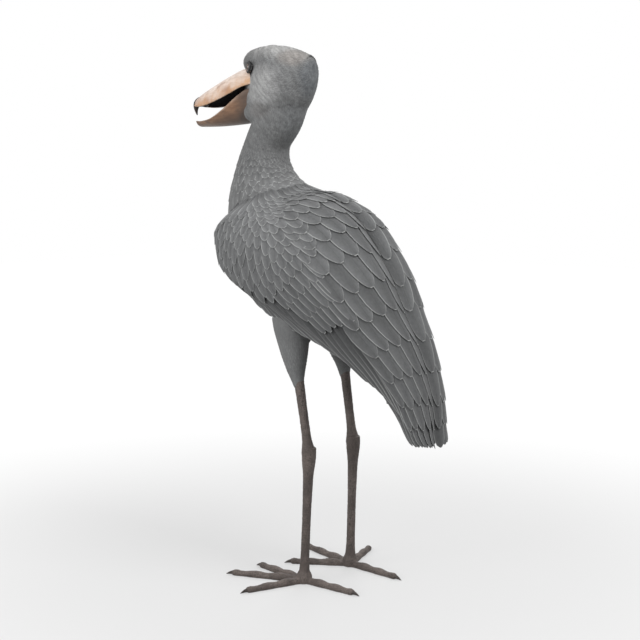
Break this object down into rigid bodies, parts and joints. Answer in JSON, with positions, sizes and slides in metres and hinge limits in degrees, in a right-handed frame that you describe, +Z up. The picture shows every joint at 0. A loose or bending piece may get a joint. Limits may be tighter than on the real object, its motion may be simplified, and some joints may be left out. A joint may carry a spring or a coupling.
{
  "type": "shoebill",
  "caption": "Life-size still model of a shoebill that stands on both feet, wings folded, head turned straight ahead and its broad hooked bill a little open.",
  "frame": {"origin": "middle of the bird's bounding box, on the floor that it stands on", "axes": "-Y ahead of the bird, +X to its left, +Z up"},
  "size_m": [0.4206, 0.6916, 1.1507],
  "materials": {
    "body_plumage": "soft matte feathers, slate grey",
    "flight_plumage": "matte vanes, dark slate grey with paler edges",
    "bill": "satin horn, mottled pinkish tan, dark nail",
    "eye": "wet gloss",
    "scaled_skin": "matte scaled skin, dark brown grey",
    "claw": "satin horn, blackish"
  },
  "bodies": {
    "root": {"head": "body_plumage", "upper_bill": "bill", "lower_bill": "bill", "eye_l": "eye", "eye_r": "eye", "neck": "body_plumage", "torso": "body_plumage", "wing_l": "flight_plumage", "wing_r": "flight_plumage", "tail": "flight_plumage", "thigh_l": "body_plumage", "shin_l": "scaled_skin", "tarsus_l": "scaled_skin", "toe_inner_l": "scaled_skin", "claw_inner_l": "claw", "toe_middle_l": "scaled_skin", "claw_middle_l": "claw", "toe_outer_l": "scaled_skin", "claw_outer_l": "claw", "toe_hind_l": "scaled_skin", "claw_hind_l": "claw", "thigh_r": "body_plumage", "shin_r": "scaled_skin", "tarsus_r": "scaled_skin", "toe_inner_r": "scaled_skin", "claw_inner_r": "claw", "toe_middle_r": "scaled_skin", "claw_middle_r": "claw", "toe_outer_r": "scaled_skin", "claw_outer_r": "claw", "toe_hind_r": "scaled_skin", "claw_hind_r": "claw"}
  },
  "joints": []
}
